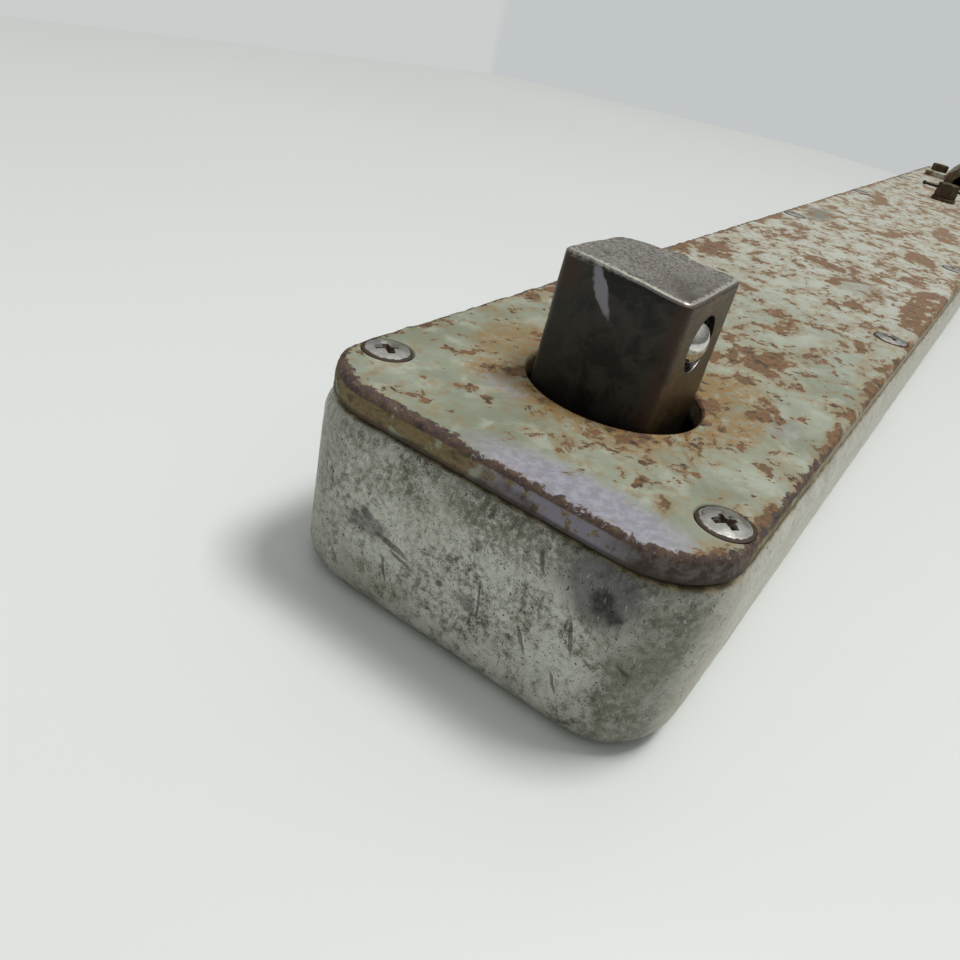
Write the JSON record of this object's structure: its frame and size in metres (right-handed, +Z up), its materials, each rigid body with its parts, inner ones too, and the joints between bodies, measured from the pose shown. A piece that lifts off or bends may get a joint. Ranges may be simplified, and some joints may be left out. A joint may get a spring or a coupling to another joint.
{
  "type": "torque wrench",
  "caption": "Long rectangular torque wrench with a square drive, screwed cover plate, underside dial and clamped tubular handle.",
  "frame": {"origin": "on the table plane, under the middle of the bounding box", "axes": "X is the tool's length, the square drive at -X and the handle at +X; Y across; Z up through the drive, the dial side resting on the table"},
  "size_m": [1, 0.082, 0.0672],
  "materials": {
    "anchor_bolt_inner": "dark oxide",
    "anchor_bolt_outer": "rusty",
    "anchor_washer": "rusty",
    "arm_rivet": "dull",
    "bridge_screw": "turned",
    "bridge_spacer": "turned",
    "clamp_bolt": "rusty hexagon head",
    "cover_gasket": "matte",
    "cover_plate": "worn pale grey-green paint over rusty steel",
    "cover_screw": "zinc plated, dirty cross recess",
    "detent_ball": "polished steel ball",
    "detent_spring": "spring wire",
    "dial_bezel": "polished",
    "dial_face": "enamelled",
    "dial_lens": "clear",
    "dial_pinion": "cut teeth",
    "gear_sector": "cut teeth",
    "handle_cap": "matte",
    "handle_clamp": "rusty",
    "handle_grip": "ribbed",
    "handle_tube": "worn, rusty",
    "housing": "worn cast finish",
    "locking_pin": "rusty",
    "lower_bush": "turned bronze",
    "peak_hand": "red",
    "pinion_bridge": "stamped",
    "pointer_arm": "rolled strip",
    "pointer_hand": "black",
    "sector_rivet": "dull",
    "square_drive": "dark oxide, ground and rusted",
    "torque_beam": "blued spring steel"
  },
  "bodies": {
    "frame": {"anchor_bolt_inner": "anchor_bolt_inner", "anchor_bolt_outer": "anchor_bolt_outer", "anchor_washer": "anchor_washer", "bridge_screw_1": "bridge_screw", "bridge_screw_2": "bridge_screw", "bridge_spacer_1": "bridge_spacer", "bridge_spacer_2": "bridge_spacer", "clamp_bolt_1": "clamp_bolt", "clamp_bolt_2": "clamp_bolt", "cover_gasket": "cover_gasket", "cover_plate": "cover_plate", "cover_screw_01": "cover_screw", "cover_screw_02": "cover_screw", "cover_screw_03": "cover_screw", "cover_screw_04": "cover_screw", "cover_screw_05": "cover_screw", "cover_screw_06": "cover_screw", "cover_screw_07": "cover_screw", "cover_screw_08": "cover_screw", "cover_screw_09": "cover_screw", "cover_screw_10": "cover_screw", "cover_screw_11": "cover_screw", "cover_screw_12": "cover_screw", "dial_bezel": "dial_bezel", "dial_face": "dial_face", "dial_lens": "dial_lens", "handle_cap": "handle_cap", "handle_clamp": "handle_clamp", "handle_grip": "handle_grip", "handle_tube": "handle_tube", "housing": "housing", "locking_pin": "locking_pin", "lower_bush": "lower_bush", "pinion_bridge": "pinion_bridge", "torque_beam": "torque_beam"},
    "drive": {"square_drive": "square_drive", "pointer_arm": "pointer_arm", "arm_rivet": "arm_rivet", "gear_sector": "gear_sector", "sector_rivet_1": "sector_rivet", "sector_rivet_2": "sector_rivet", "detent_spring": "detent_spring"},
    "ball": {"detent_ball": "detent_ball"},
    "pointer": {"dial_pinion": "dial_pinion", "pointer_hand": "pointer_hand"},
    "peak_hand": {"peak_hand": "peak_hand"}
  },
  "joints": [
    {"name": "drive_twist", "type": "hinge", "parent": "frame", "child": "drive", "pos_m": [-0.4545, 0, 0.042], "axis": [0, 0, 1], "range_deg": [-2.5, 2.5], "stiffness_Nm_per_rad": 12000},
    {"name": "ball_press", "type": "slide", "parent": "drive", "child": "ball", "axis": [0, 1, 0], "range_m": [0, 0.0014], "stiffness_N_per_m": 6000, "springref_m": -0.001, "deforming": ["detent_spring"]},
    {"name": "pointer_spin", "type": "hinge", "parent": "frame", "child": "pointer", "pos_m": [-0.1545, 0, 0.01], "axis": [0, 0, 1], "range_deg": [-123, 123]},
    {"name": "peak_spin", "type": "hinge", "parent": "frame", "child": "peak_hand", "pos_m": [-0.1545, 0, 0.005], "axis": [0, 0, 1], "range_deg": [-123, 123]}
  ],
  "couplings": [
    {"joint": "pointer_spin", "follows": "drive_twist", "ratio": -49}
  ]
}
